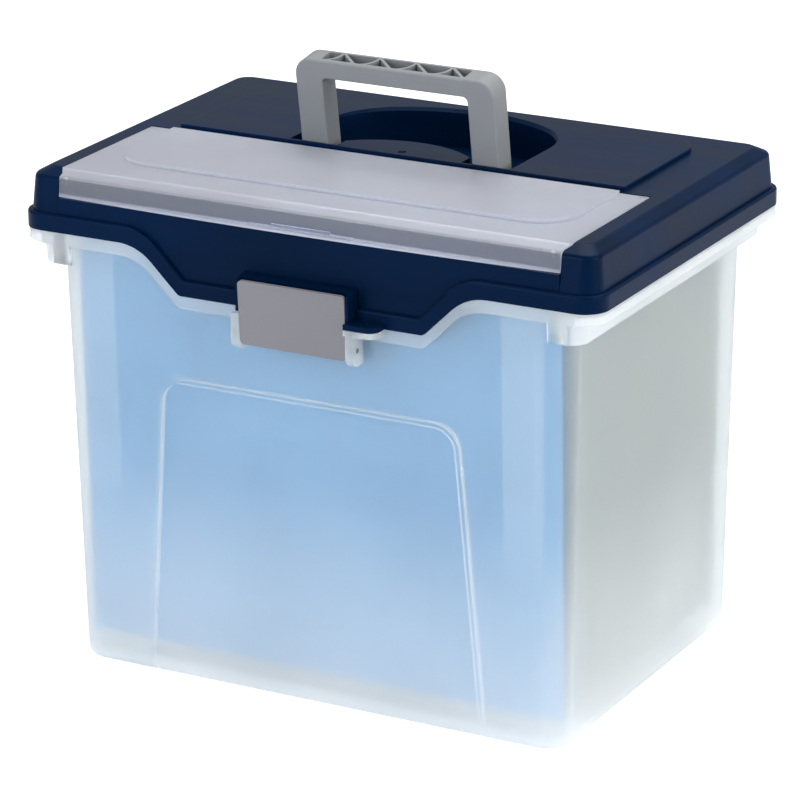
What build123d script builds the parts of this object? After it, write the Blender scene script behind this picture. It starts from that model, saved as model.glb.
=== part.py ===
from build123d import *
import math
import os

# Portable file box, closed, handle up. Millimetres, +Z up, origin at the middle of the base,
# front (latch side) toward -Y, X along the front.

# ---------------------------------------------------------------- shared clearances
SEAT_GAP = 0.3            # between parts that rest against or pass close to each other
PIN_CLEARANCE = 0.06      # radial play of a turning bore on its pin
LOOSE_GAP = 1.0           # room beside parts that hang or close loosely
CUT_MARGIN = 20.0         # how far a cutting volume runs past the stock it removes

# ---------------------------------------------------------------- tub
RIM_TOP = 255.2
RIM_DEPTH = 7.0
RIM_HALF_X = 177.5
RIM_HALF_Y = 119.5
RIM_OVERHANG_X = 18.8     # rim beyond the top of the side walls
RIM_OVERHANG_Y = 2.9      # rim beyond the top of the front and rear walls
RIM_CORNER = 13.5
RIM_SKIN = 2.0
RIM_EDGE_ROUND = 1.4

WALL_DRAFT = 0.0225       # outward lean of each wall per millimetre of height
TUB_WALL = 2.0
WALL_TOP_HALF_X = RIM_HALF_X - RIM_OVERHANG_X
WALL_TOP_HALF_Y = RIM_HALF_Y - RIM_OVERHANG_Y
BASE_HALF_X = WALL_TOP_HALF_X - WALL_DRAFT * RIM_TOP
BASE_HALF_Y = WALL_TOP_HALF_Y - WALL_DRAFT * RIM_TOP
BASE_CORNER = 14.0
BASE_ROUNDING = 6.0

FLANGE_SIDE_STEP = 9.3    # rim side to the box flange under it
FLANGE_FRONT_STEP = 1.5   # rim front to the end plates of the box flange
FLANGE_HALF_X = RIM_HALF_X - FLANGE_SIDE_STEP
FLANGE_HALF_Y = RIM_HALF_Y - FLANGE_FRONT_STEP
FLANGE_CORNER = 12.0
FLANGE_DROP = 19.4        # rim top to the lower edge of the box flange
FLANGE_LOW = RIM_TOP - FLANGE_DROP
FLANGE_LEAN_DEG = 4.0
FLANGE_EDGE_ROUND = 1.8
FLANGE_PLATE_REACH = 3.0  # end plate past the straight part of the side wall
FLANGE_RIB = 1.6
FLANGE_RIB_PITCH = 39.0
FLANGE_RIB_COUNT = 5

PANEL_TOP = 177.3
PANEL_HALF_TOP = 90.0
PANEL_HALF_BASE = 106.0
PANEL_CORNER = 13.0
PANEL_DEPTH = 4.2

RAIL_RISE = 3.3           # rail top above the rim
RAIL_STANDOFF = 0.9       # rail's inner face inward of the wall's inner face
RAIL_END_GAP = 4.85
RAIL_TOP = RIM_TOP + RAIL_RISE
RAIL_INNER_X = WALL_TOP_HALF_X - TUB_WALL - RAIL_STANDOFF
RAIL_WIDTH = 2.4
RAIL_HALF_LENGTH = BASE_HALF_Y - RAIL_END_GAP

# ---------------------------------------------------------------- lid shell
SKIRT_OVERHANG = 0.5      # lid skirt outside the rim
BAND_HEIGHT = 9.8
BAND_LOW = RIM_TOP + SEAT_GAP
BAND_TOP = BAND_LOW + BAND_HEIGHT
BAND_HALF_X = RIM_HALF_X + SKIRT_OVERHANG
BAND_HALF_Y = RIM_HALF_Y + SKIRT_OVERHANG
BAND_CORNER = RIM_CORNER + SKIRT_OVERHANG
BAND_EDGE_ROUND = 1.6
LEDGE_STEP = 2.7
FOOT_HALF_X = BAND_HALF_X - LEDGE_STEP
FOOT_HALF_Y = BAND_HALF_Y - LEDGE_STEP
FOOT_CORNER = BAND_CORNER - LEDGE_STEP

WALL_HEIGHT = 19.7        # ledge to shoulder
WALL_LEAN_X = 1.8
WALL_LEAN_Y = 3.1
SHOULDER_Z = BAND_TOP + WALL_HEIGHT
SHOULDER_HALF_X = FOOT_HALF_X - WALL_LEAN_X
SHOULDER_HALF_Y = FOOT_HALF_Y - WALL_LEAN_Y
SHOULDER_CORNER = 9.0
SHOULDER_ROUND = 3.0

BEVEL_HEIGHT = 4.0
BEVEL_SIDE = 6.9
BEVEL_FRONT = 9.2
BEVEL_REAR = 6.7
DECK_Z = SHOULDER_Z + BEVEL_HEIGHT
DECK_HALF_X = SHOULDER_HALF_X - BEVEL_SIDE
DECK_FRONT_Y = -SHOULDER_HALF_Y + BEVEL_FRONT
DECK_REAR_Y = SHOULDER_HALF_Y - BEVEL_REAR
DECK_CORNER = 8.0
DECK_ROUND = 3.0
LID_SKIN = 2.4

# ---------------------------------------------------------------- dip in the front of rim and lid
DIP_DEPTH = 25.2          # how far the skirt's lower edge dips
DIP_LEDGE_DEPTH = 26.0    # how far the ledge on top of the skirt dips
DIP_SKIRT_HALF_LOW = 75.5
DIP_LEDGE_HALF_LOW = 72.7
DIP_RUN = 25.8            # how far the slanted sides of the dip spread
DIP_SKIRT_HALF_HIGH = DIP_SKIRT_HALF_LOW + DIP_RUN
DIP_LEDGE_HALF_HIGH = DIP_LEDGE_HALF_LOW + DIP_RUN
DIP_SKIRT_LOW = BAND_LOW - DIP_DEPTH
DIP_LEDGE_LOW = BAND_TOP - DIP_LEDGE_DEPTH
DIP_UPPER_ROUND = 30.0
DIP_LOWER_ROUND = 4.0

# ---------------------------------------------------------------- raised panel and handle well
PAD_STEP = 2.4
PAD_Z = DECK_Z + PAD_STEP
PAD_HALF_X = 139.7
PAD_CORNER = 22.0
PAD_EDGE_ROUND = 0.8
PAD_REAR_LAND = 2.0       # panel behind the rim of the well
WELL_FRONT_Y = -6.3
WELL_FRONT_LAND = 2.2     # panel in front of the well
PAD_FRONT_Y = WELL_FRONT_Y - WELL_FRONT_LAND
GATE_MARK_FROM_FRONT = 6.0
GATE_MARK_RADIUS = 2.4
GATE_MARK_DEPTH = 0.5
GATE_NUB_RADIUS = 0.8

# ---------------------------------------------------------------- carrying handle
HANDLE_PIVOT_BACK = 9.3   # front wall of the well to the pivot line
HANDLE_PIVOT_DEPTH = 12.4
HANDLE_PIVOT_Y = WELL_FRONT_Y + HANDLE_PIVOT_BACK
HANDLE_PIVOT_Z = PAD_Z - HANDLE_PIVOT_DEPTH
HANDLE_LEAN_DEG = 8.5
HANDLE_HALF_X = 62.2
HANDLE_LEG_WIDTH = 16.9
HANDLE_FRONT = 7.0        # pivot line to the front face
HANDLE_REAR = 8.4         # pivot line to the rear face
HANDLE_FOOT_RADIUS = 7.0
HANDLE_HEIGHT = 63.6      # pivot line to the top of the grip
GRIP_HEIGHT = 10.9
HANDLE_OUTER_ROUND = 10.0
HANDLE_INNER_ROUND = 3.0
HANDLE_EDGE_ROUND = 1.2
TRUNNION_RADIUS = 4.0
TRUNNION_REACH = 10.5
TRUNNION_BOSS_RADIUS = 7.0
TRUNNION_BOSS_WIDTH = 5.0
TRUSS_LEFT_X = -46.0
TRUSS_BAND = 2.6
TRUSS_DEPTH = 7.0
TRUSS_RIB = 1.7
TRUSS_PITCH = 22.7
TRUSS_COUNT = 4
TRUSS_FIRST_REAR_X = -37.6
TRUSS_RIB_RUN = 13.0
TRUSS_RIGHT_X = TRUSS_FIRST_REAR_X + (TRUSS_COUNT - 1) * TRUSS_PITCH + TRUSS_RIB_RUN

# ---------------------------------------------------------------- handle well in the lid
WELL_SIDE_ROOM = 7.3      # handle side to the side of the well
WELL_FINGER_ROOM = 23.0   # folded handle to the rear of the well
WELL_ARCH_RISE = 29.6
WELL_FLOOR_ROOM = 1.2     # below the folded handle
WELL_HALF_X = HANDLE_HALF_X + WELL_SIDE_ROOM
WELL_REAR_Y = HANDLE_PIVOT_Y + HANDLE_HEIGHT + WELL_FINGER_ROOM
WELL_SHOULDER_Y = WELL_REAR_Y - WELL_ARCH_RISE
WELL_CORNER = 44.0
WELL_FLOOR_Z = HANDLE_PIVOT_Z - HANDLE_REAR - WELL_FLOOR_ROOM
WELL_SKIN = 2.0
WELL_RIM_WIDTH = 2.4
WELL_RIM_DROP = 1.8
PAD_REAR_Y = WELL_REAR_Y + WELL_RIM_WIDTH + PAD_REAR_LAND
PLATFORM_HALF_X = 39.0
PLATFORM_SIDE_BACK = 10.3
PLATFORM_REAR_BACK = 25.0
PLATFORM_SIDE_Y = WELL_FRONT_Y + PLATFORM_SIDE_BACK
PLATFORM_REAR_Y = WELL_FRONT_Y + PLATFORM_REAR_BACK

# ---------------------------------------------------------------- organiser tray in the lid
TRAY_SIDE_LAND = 9.6      # deck beside the tray
TRAY_REAR_LAND = 2.7      # deck between the tray and the raised panel
TRAY_FRONT_WALL = 3.7
TRAY_DEPTH = 25.0
TRAY_HALF_X = DECK_HALF_X - TRAY_SIDE_LAND
TRAY_REAR_Y = PAD_FRONT_Y - TRAY_REAR_LAND
TRAY_FRONT_Y = -FOOT_HALF_Y + TRAY_FRONT_WALL
TRAY_FLOOR_Z = DECK_Z - TRAY_DEPTH
TRAY_SKIN = 2.0
TRAY_FLOOR_ROUND = 4.0

# ---------------------------------------------------------------- organiser cover
COVER_SIDE_GAP = 0.6      # cover to the sides of its bay
COVER_REAR_GAP = 1.6
COVER_SKIN = 1.8
COVER_FRONT_CUT = 2.6     # how much narrower the front is at each side
COVER_FRONT_CUT_RUN = 4.4
COVER_FRONT_HEIGHT = 14.2
COVER_HALF_X = TRAY_HALF_X - COVER_SIDE_GAP
COVER_FOOT_HALF_X = COVER_HALF_X - COVER_FRONT_CUT
COVER_REAR_Y = TRAY_REAR_Y - COVER_REAR_GAP
COVER_TOP_Z = DECK_Z
COVER_FOOT_SET_BACK = 2.1
COVER_FOOT_Y = -FOOT_HALF_Y + COVER_FOOT_SET_BACK
COVER_FOOT_Z = DECK_Z - COVER_FRONT_HEIGHT
COVER_BAND_LEAN = 1.2
COVER_BEVEL_RUN = 7.4
COVER_BEVEL_DROP = 3.1
COVER_BEVEL_Y = COVER_FOOT_Y + COVER_BAND_LEAN
COVER_BEVEL_Z = COVER_TOP_Z - COVER_BEVEL_DROP
COVER_BREAK_Y = COVER_BEVEL_Y + COVER_BEVEL_RUN
COVER_EDGE_ROUND = 1.2
COVER_PAD_STEP = 2.4
COVER_PAD_TOP = COVER_TOP_Z + COVER_PAD_STEP
COVER_PAD_SIDE_LAND = 16.4
COVER_PAD_FRONT_LAND = 21.6
COVER_PAD_REAR_LAND = 2.8
COVER_PAD_HALF_X = COVER_HALF_X - COVER_PAD_SIDE_LAND
COVER_PAD_FRONT_Y = COVER_BREAK_Y + COVER_PAD_FRONT_LAND
COVER_PAD_REAR_Y = COVER_REAR_Y - COVER_PAD_REAR_LAND
COVER_PAD_CORNER = 24.0
COVER_LIP_BOW = 4.2
COVER_LIP_HEIGHT = 1.6
COVER_TAB_HALF_X = 32.0
COVER_TAB_HEIGHT = 2.2
COVER_TAB_BAR_HALF_X = 18.0
COVER_TAB_BAR_HEIGHT = 3.8
COVER_TAB_BAR_DEPTH = 1.2
COVER_SIDE_DROP = 3.0
COVER_SIDE_REAR_GAP = 9.2
COVER_PEG_FROM_SIDE = 4.4
COVER_PEG_RADIUS = 1.0
COVER_PEG_LOW = 7.2       # below the cover's top
COVER_PEG_HIGH = 2.6
COVER_AXIS_FORWARD = 1.1  # rear edge to the hinge line
COVER_AXIS_DEPTH = 1.6
COVER_AXIS_Y = COVER_REAR_Y - COVER_AXIS_FORWARD
COVER_AXIS_Z = COVER_TOP_Z - COVER_AXIS_DEPTH
COVER_PIN_RADIUS = 1.2
COVER_PIN_REACH = 3.4
COVER_EAR_WIDTH = 6.0
COVER_EAR_RADIUS = 1.6
COVER_BOSS_RADIUS = 3.2
COVER_BOSS_WIDTH = 2.4
TRAY_LIP_Z = COVER_FOOT_Z - SEAT_GAP

# ---------------------------------------------------------------- latch, lug, cheeks, padlock tabs
LATCH_PIVOT_FORWARD = 3.0  # lid skirt to the pivot line
LATCH_PIVOT_BELOW = 13.3  # dipped skirt edge to the pivot line
LATCH_PIVOT_Y = -BAND_HALF_Y - LATCH_PIVOT_FORWARD
LATCH_PIVOT_Z = DIP_SKIRT_LOW - LATCH_PIVOT_BELOW
LATCH_LEAN_DEG = 3.6
LATCH_HALF_X = 32.8
LATCH_BELOW = 5.5         # pivot line to the lower edge
LATCH_ABOVE = 31.3        # pivot line to the upper edge
LATCH_FACE = 4.1          # pivot line to the outer face
LATCH_SKIN = 2.2
LATCH_CORNER = 2.5
LATCH_SIDE_SKIN = 1.8
LATCH_SIDE_DEPTH = 2.6
LATCH_KNUCKLE_RADIUS = 3.1
LATCH_KNUCKLE_GAP = 11.0
LATCH_KNUCKLE_COUNT = 3
LATCH_PIN_RADIUS = 1.5
LATCH_LIP_HEIGHT = 1.8
LATCH_LIP_DEPTH = 1.4
LATCH_LIP_ABOVE = 27.0

CHEEK_WIDTH = 4.4
CHEEK_BELOW = 9.0         # pivot line to the cheek's lower edge
CHEEK_TOP_GAP = 1.3       # cheek's top below the skirt edge
CHEEK_FORWARD = 5.5       # pivot line to the cheek's front
CHEEK_ROUND = 6.0
CHEEK_LOW = LATCH_PIVOT_Z - CHEEK_BELOW
CHEEK_TOP = DIP_SKIRT_LOW - CHEEK_TOP_GAP
CHEEK_FRONT_Y = LATCH_PIVOT_Y - CHEEK_FORWARD
CHEEK_ROOT_Y = -BASE_HALF_Y - WALL_DRAFT * LATCH_PIVOT_Z + TUB_WALL / 2

LUG_SIDE_SKIN = 1.6
LUG_REAR_HEIGHT = 19.7
LUG_FRONT_HEIGHT = 17.2
LUG_FORWARD = 5.0         # pivot line to the lug's front
LUG_TOP_REAR_Z = DIP_SKIRT_LOW + LUG_REAR_HEIGHT
LUG_TOP_FRONT_Z = DIP_SKIRT_LOW + LUG_FRONT_HEIGHT
LUG_FRONT_Y = LATCH_PIVOT_Y - LUG_FORWARD
LUG_FACE_GAP = 3.0        # lug face to the inside of the latch plate
LUG_BEAD_BELOW = 4.2      # lower edge of the latch's lip to the lug's bead
LUG_BEAD_HEIGHT = 1.6
LUG_BEAD_DEPTH = 1.4
LUG_CORE_SKIN = 2.4

EYELET_REACH = 19.4       # tab past the side of the latch
EYELET_FORWARD = 11.0     # tab in front of the skirt
EYELET_ROOT_DEPTH = 3.4
EYELET_HOLE_REACH = 10.9
EYELET_HOLE_FORWARD = 4.4
EYELET_HOLE_RADIUS = 3.2
EYELET_ROUND = 6.5
EYELET_THICKNESS = 3.0
EYELET_ROOT_X = LATCH_HALF_X + SEAT_GAP
EYELET_TIP_X = EYELET_ROOT_X + EYELET_REACH
EYELET_FRONT_Y = -BAND_HALF_Y - EYELET_FORWARD
EYELET_ROOT_Y = -BAND_HALF_Y + EYELET_ROOT_DEPTH
EYELET_HOLE_X = EYELET_ROOT_X + EYELET_HOLE_REACH
EYELET_HOLE_Y = -BAND_HALF_Y - EYELET_HOLE_FORWARD

# ---------------------------------------------------------------- rear lid hinge
HINGE_BEHIND = 6.0        # hinge line behind the lid skirt
HINGE_RISE = 4.8          # hinge line above the rim
HINGE_EAR_DROP = 11.2     # lower end of the ears below the rim
HINGE_EAR_ROOT_DEPTH = 1.7
HINGE_WEB_ROOT_DEPTH = 1.5
HINGE_Y = BAND_HALF_Y + HINGE_BEHIND
HINGE_Z = RIM_TOP + HINGE_RISE
HINGE_SPREAD_X = 95.0
HINGE_KNUCKLE_HALF = 10.0
HINGE_EAR_WIDTH = 4.0
HINGE_RADIUS = 5.0
HINGE_PIN_RADIUS = 2.0
HINGE_EAR_LOW_Z = RIM_TOP - HINGE_EAR_DROP
HINGE_EAR_ROOT_Y = RIM_HALF_Y - HINGE_EAR_ROOT_DEPTH
HINGE_WEB_ROOT_Y = BAND_HALF_Y - HINGE_WEB_ROOT_DEPTH

# ---------------------------------------------------------------- hanging folders
FOLDER_COUNT = 10
FOLDER_FRONT_ROOM = 18.2  # top of the front wall to the first folder
FOLDER_REAR_ROOM = 27.8   # last folder to the top of the rear wall
FOLDER_SIDE_GAP = 6.8     # folder to the rail
FOLDER_BELOW_RAIL = 1.5
FOLDER_FIRST_Y = -WALL_TOP_HALF_Y + FOLDER_FRONT_ROOM
FOLDER_PITCH = (WALL_TOP_HALF_Y - FOLDER_REAR_ROOM - FOLDER_FIRST_Y) / (FOLDER_COUNT - 1)
FOLDER_HALF_X = RAIL_INNER_X - FOLDER_SIDE_GAP
FOLDER_TOP_Z = RAIL_TOP - FOLDER_BELOW_RAIL
FOLDER_BASE_Z = 15.0
PAPER = 0.6
FOLDER_DEPTH = 10.0
FOLDER_BASE_RADIUS = 1.3
HEM_HEIGHT = 9.0
ROD_THICKNESS = 1.0
ROD_HEIGHT = 7.0
ROD_PLAY = 0.05
ROD_ARM_HEIGHT = 2.2
ROD_HOOK_DROP = 3.0
ROD_HOOK_WIDTH = 1.8
ROD_HOOK_PLAY = 0.4       # hook to the outer face of the rail
ROD_SEAT = 0.1            # rod arm above the rail it slides on
ROD_HALF_LENGTH = RAIL_INNER_X + RAIL_WIDTH + ROD_HOOK_PLAY + ROD_HOOK_WIDTH


def plan_block(half_x, half_y, corner, low, high):
    """Upright block with a rounded rectangular plan."""
    outline = Pos(0, 0, low) * RectangleRounded(2 * half_x, 2 * half_y, corner)
    return extrude(outline, high - low)


def box_between(low, high):
    """Box from its lowest corner to its highest corner."""
    size = [b - a for a, b in zip(low, high)]
    middle = [(a + b) / 2 for a, b in zip(low, high)]
    return Pos(*middle) * Box(*size)


def rod_along_x(radius, start_x, end_x, y, z):
    """Round bar or bore along X."""
    return Pos((start_x + end_x) / 2, y, z) * Rot(0, 90, 0) * Cylinder(radius, end_x - start_x)


def front_sketch(outline):
    """An outline drawn in x and z, standing in the plane y = 0."""
    return Plane.XZ * outline


def side_sketch(outline):
    """An outline drawn in y and z, standing in the plane x = 0."""
    return Plane.YZ * outline


def across_y(outline, low_y, high_y):
    """Front outline pushed through from low_y to high_y."""
    return Pos(0, low_y, 0) * extrude(front_sketch(outline), high_y - low_y, dir=(0, 1, 0))


def across_x(outline, low_x, high_x):
    """Side outline pushed through from low_x to high_x."""
    return Pos(low_x, 0, 0) * extrude(side_sketch(outline), high_x - low_x, dir=(1, 0, 0))


def closed(*points):
    """Filled straight-sided outline."""
    return make_face(Polyline(*points, close=True))


def round_corners(outline, picks):
    """Round the corners of an outline nearest to the picked points, each with its radius."""
    for x, y, radius in picks:
        corner = outline.vertices().sort_by_distance((x, y, 0))[0]
        outline = fillet(corner, radius)
    return outline


# ---------------------------------------------------------------- shapes shared by tub and lid
def above_dip(low_z, half_low, half_high, high_z, top_z):
    """Front outline of everything above the dipped edge line, up to top_z."""
    wide = RIM_HALF_X + CUT_MARGIN
    outline = closed(
        (-wide, high_z), (-half_high, high_z), (-half_low, low_z), (half_low, low_z),
        (half_high, high_z), (wide, high_z), (wide, top_z), (-wide, top_z))
    return round_corners(outline, [
        (-half_high, high_z, DIP_UPPER_ROUND), (half_high, high_z, DIP_UPPER_ROUND),
        (-half_low, low_z, DIP_LOWER_ROUND), (half_low, low_z, DIP_LOWER_ROUND)])


def above_skirt_line(drop, top_z):
    """Region above the lower edge of the lid's skirt, that edge moved down by drop."""
    return above_dip(DIP_SKIRT_LOW - drop, DIP_SKIRT_HALF_LOW, DIP_SKIRT_HALF_HIGH,
                     BAND_LOW - drop, top_z)


def above_ledge_line(drop, top_z):
    """Region above the ledge on top of the lid's skirt, that edge moved down by drop."""
    return above_dip(DIP_LEDGE_LOW - drop, DIP_LEDGE_HALF_LOW, DIP_LEDGE_HALF_HIGH,
                     BAND_TOP - drop, top_z)


def eyelet_tab(low_z, thickness):
    """Flat padlock tab with its hole, seen from above a D with rounded free corners."""
    outline = closed((EYELET_ROOT_X, EYELET_ROOT_Y), (EYELET_TIP_X, EYELET_ROOT_Y),
                     (EYELET_TIP_X, EYELET_FRONT_Y), (EYELET_ROOT_X, EYELET_FRONT_Y))
    outline = round_corners(outline, [(EYELET_TIP_X, EYELET_FRONT_Y, EYELET_ROUND)])
    outline -= Pos(EYELET_HOLE_X, EYELET_HOLE_Y) * Circle(EYELET_HOLE_RADIUS)
    return extrude(Pos(0, 0, low_z) * outline, thickness)


def hinge_ends(width, offset):
    """Start and end x of plates of the given width, offset outward from each hinge station."""
    spans = []
    for station in (-HINGE_SPREAD_X, HINGE_SPREAD_X):
        for side in ((-1, 1) if offset else (1,)):
            middle = station + side * offset
            spans.append((middle - width / 2, middle + width / 2))
    return spans


# ---------------------------------------------------------------- tub
def drafted_body(inset, top_z):
    """The tub's leaning walls, moved inward by inset, from that height above the base."""
    outline = RectangleRounded(2 * (BASE_HALF_X - inset), 2 * (BASE_HALF_Y - inset),
                               BASE_CORNER - inset)
    lean_deg = math.degrees(math.atan(WALL_DRAFT))
    body = extrude(outline, top_z, taper=-lean_deg)
    if inset:
        body -= box_between((-RIM_HALF_X, -RIM_HALF_Y, -CUT_MARGIN),
                            (RIM_HALF_X, RIM_HALF_Y, inset))
    floor_edges = body.faces().sort_by(Axis.Z)[0].edges()
    return fillet(floor_edges, BASE_ROUNDING - min(inset, TUB_WALL))


def panel_recess(grow):
    """Volume taken out of the front and rear walls by the sunk panels."""
    top_half = PANEL_HALF_TOP + grow
    base_half = PANEL_HALF_BASE + grow
    outline = closed((-base_half, -CUT_MARGIN), (base_half, -CUT_MARGIN),
                     (top_half, PANEL_TOP + grow), (-top_half, PANEL_TOP + grow))
    outline = round_corners(outline, [
        (-top_half, PANEL_TOP + grow, PANEL_CORNER + grow),
        (top_half, PANEL_TOP + grow, PANEL_CORNER + grow)])
    through = across_y(outline, -RIM_HALF_Y - CUT_MARGIN, RIM_HALF_Y + CUT_MARGIN)
    kept_outline = RectangleRounded(2 * BASE_HALF_X, 2 * (BASE_HALF_Y - PANEL_DEPTH - grow),
                                    BASE_CORNER)
    lean_deg = math.degrees(math.atan(WALL_DRAFT))
    kept = Pos(0, 0, -CUT_MARGIN) * extrude(kept_outline, PANEL_TOP + 2 * CUT_MARGIN + grow,
                                            taper=-lean_deg)
    return through - kept


def rim():
    """Outward rim with its hanging edge, rounded below."""
    edge_low = RIM_TOP - RIM_DEPTH
    outer = plan_block(RIM_HALF_X, RIM_HALF_Y, RIM_CORNER, edge_low, RIM_TOP)
    outer = fillet(outer.faces().sort_by(Axis.Z)[0].edges(), RIM_EDGE_ROUND)
    return outer - plan_block(RIM_HALF_X - RIM_SKIN, RIM_HALF_Y - RIM_SKIN,
                              RIM_CORNER - RIM_SKIN, edge_low, RIM_TOP - RIM_SKIN)


def flange_block(inset, depth):
    """Block of the box flange under the rim, moved inward by inset, narrowing downward."""
    outline = RectangleRounded(2 * (FLANGE_HALF_X - inset), 2 * (FLANGE_HALF_Y - inset),
                               FLANGE_CORNER - inset)
    return extrude(Pos(0, 0, RIM_TOP - inset) * outline, depth, dir=(0, 0, -1),
                   taper=FLANGE_LEAN_DEG)


def box_flange():
    """Open-bottomed box flange along both sides, its end plates reaching the front and rear walls."""
    block = flange_block(0, FLANGE_DROP)
    block = fillet(block.faces().sort_by(Axis.Z)[0].edges(), FLANGE_EDGE_ROUND)
    wall_x = BASE_HALF_X + WALL_DRAFT * FLANGE_LOW
    hollow = flange_block(RIM_SKIN, FLANGE_DROP + CUT_MARGIN)
    hollow -= box_between((-wall_x, -RIM_HALF_Y, 0), (wall_x, RIM_HALF_Y, RIM_TOP))
    plate_end = wall_x - BASE_CORNER + FLANGE_PLATE_REACH
    middle = box_between((-plate_end, -RIM_HALF_Y, 0), (plate_end, RIM_HALF_Y, RIM_TOP))
    return block - hollow - middle


def flange_ribs():
    """Cross ribs in the box flange."""
    ribs = []
    for index in range(FLANGE_RIB_COUNT):
        y = (index - (FLANGE_RIB_COUNT - 1) / 2) * FLANGE_RIB_PITCH
        span = box_between((-RIM_HALF_X, y - FLANGE_RIB / 2, 0),
                           (RIM_HALF_X, y + FLANGE_RIB / 2, RIM_TOP))
        ribs.append(flange_block(RIM_SKIN / 2, FLANGE_DROP - RIM_SKIN) & span)
    return ribs


def front_rim_dip():
    """Rim edge along the dipped front opening."""
    line_gap = BAND_LOW - RIM_TOP
    band = above_skirt_line(line_gap + RIM_DEPTH, BAND_LOW) - above_skirt_line(line_gap, PAD_Z)
    reach = RIM_HALF_X - RIM_CORNER
    span = box_between((-reach, -RIM_HALF_Y, DIP_SKIRT_LOW - RIM_DEPTH - CUT_MARGIN),
                       (reach, 0, RIM_TOP))
    return across_y(band, -RIM_HALF_Y, -BASE_HALF_Y - TUB_WALL) & span


def rails():
    """Ledges along both sides that the folder hooks slide on."""
    bars = []
    for side in (-1, 1):
        middle = side * (RAIL_INNER_X + RAIL_WIDTH / 2)
        bars.append(Pos(middle, 0, RAIL_TOP - RIM_DEPTH) * Box(
            RAIL_WIDTH, 2 * RAIL_HALF_LENGTH, RIM_DEPTH, align=(Align.CENTER, Align.CENTER, Align.MIN)))
    return bars


def latch_cheeks():
    """Two lugs on the front wall that hold the latch pin."""
    outline = closed((CHEEK_ROOT_Y, CHEEK_LOW), (CHEEK_FRONT_Y, CHEEK_LOW),
                     (CHEEK_FRONT_Y, CHEEK_TOP), (CHEEK_ROOT_Y, CHEEK_TOP))
    outline = round_corners(outline, [(CHEEK_FRONT_Y, CHEEK_LOW, CHEEK_ROUND)])
    inner_x = LATCH_HALF_X + SEAT_GAP
    return [across_x(outline, inner_x, inner_x + CHEEK_WIDTH),
            across_x(outline, -inner_x - CHEEK_WIDTH, -inner_x)]


def hinge_ears():
    """Ears behind the rear wall that hold the hinge pins."""
    outline = closed((HINGE_EAR_ROOT_Y, HINGE_EAR_LOW_Z), (HINGE_EAR_ROOT_Y, RIM_TOP),
                     (HINGE_Y - HINGE_RADIUS, RIM_TOP), (HINGE_Y - HINGE_RADIUS, HINGE_Z),
                     (HINGE_Y + HINGE_RADIUS, HINGE_Z),
                     (HINGE_Y + HINGE_RADIUS, HINGE_Z - HINGE_RADIUS))
    outline += Pos(HINGE_Y, HINGE_Z) * Circle(HINGE_RADIUS)
    offset = HINGE_KNUCKLE_HALF + SEAT_GAP + HINGE_EAR_WIDTH / 2
    return [across_x(outline, *span) for span in hinge_ends(HINGE_EAR_WIDTH, offset)]


def make_tub():
    inside = drafted_body(TUB_WALL, RAIL_TOP) - panel_recess(TUB_WALL)
    tub = drafted_body(0, RIM_TOP) - panel_recess(0)
    tub += [rim(), box_flange(), *flange_ribs()]
    tub -= across_y(above_skirt_line(BAND_LOW - RIM_TOP, PAD_Z),
                    -BAND_HALF_Y - CUT_MARGIN, -BASE_HALF_Y + BASE_CORNER)
    tub += front_rim_dip()
    tub -= inside
    tub += [*rails(), *latch_cheeks(), *hinge_ears()]
    tub += eyelet_tab(DIP_SKIRT_LOW - SEAT_GAP - EYELET_THICKNESS, EYELET_THICKNESS)
    bore_end = LATCH_HALF_X + SEAT_GAP + CHEEK_WIDTH
    tub -= rod_along_x(LATCH_PIN_RADIUS, -bore_end, bore_end, LATCH_PIVOT_Y, LATCH_PIVOT_Z)
    tub -= rod_along_x(HINGE_PIN_RADIUS, -BAND_HALF_X, BAND_HALF_X, HINGE_Y, HINGE_Z)
    return tub


# ---------------------------------------------------------------- lid
def lid_outer():
    """Outside of the lid: skirt band, leaning walls, bevel and deck, their edges rounded."""
    band = plan_block(BAND_HALF_X, BAND_HALF_Y, BAND_CORNER, BAND_LOW, BAND_TOP)
    band = fillet(band.faces().sort_by(Axis.Z)[-1].edges(), BAND_EDGE_ROUND)
    foot = lid_section(FOOT_HALF_X, FOOT_HALF_Y, FOOT_CORNER, 0, BAND_TOP - BAND_EDGE_ROUND)
    shoulder = lid_section(SHOULDER_HALF_X, SHOULDER_HALF_Y, SHOULDER_CORNER, 0, SHOULDER_Z)
    deck = lid_section(DECK_HALF_X, (DECK_REAR_Y - DECK_FRONT_Y) / 2, DECK_CORNER,
                       (DECK_REAR_Y + DECK_FRONT_Y) / 2, DECK_Z)
    walls = loft(Sketch() + [foot, shoulder], ruled=True)
    bevel = loft(Sketch() + [shoulder, deck], ruled=True)
    shell = walls + bevel
    shell = fillet(edges_at_height(shell, SHOULDER_Z), SHOULDER_ROUND)
    shell = fillet(shell.faces().sort_by(Axis.Z)[-1].edges(), DECK_ROUND)
    pad = pad_block(0, DECK_Z - LID_SKIN, PAD_Z)
    pad = fillet(pad.faces().sort_by(Axis.Z)[-1].edges(), PAD_EDGE_ROUND)
    return band + shell + pad


def edges_at_height(shape, z):
    """Level edges of a shape at one height."""
    return shape.edges().filter_by_position(Axis.Z, z - SEAT_GAP, z + SEAT_GAP)


def lid_section(half_x, half_y, corner, middle_y, z):
    return Pos(0, middle_y, z) * RectangleRounded(2 * half_x, 2 * half_y, corner)


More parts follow.
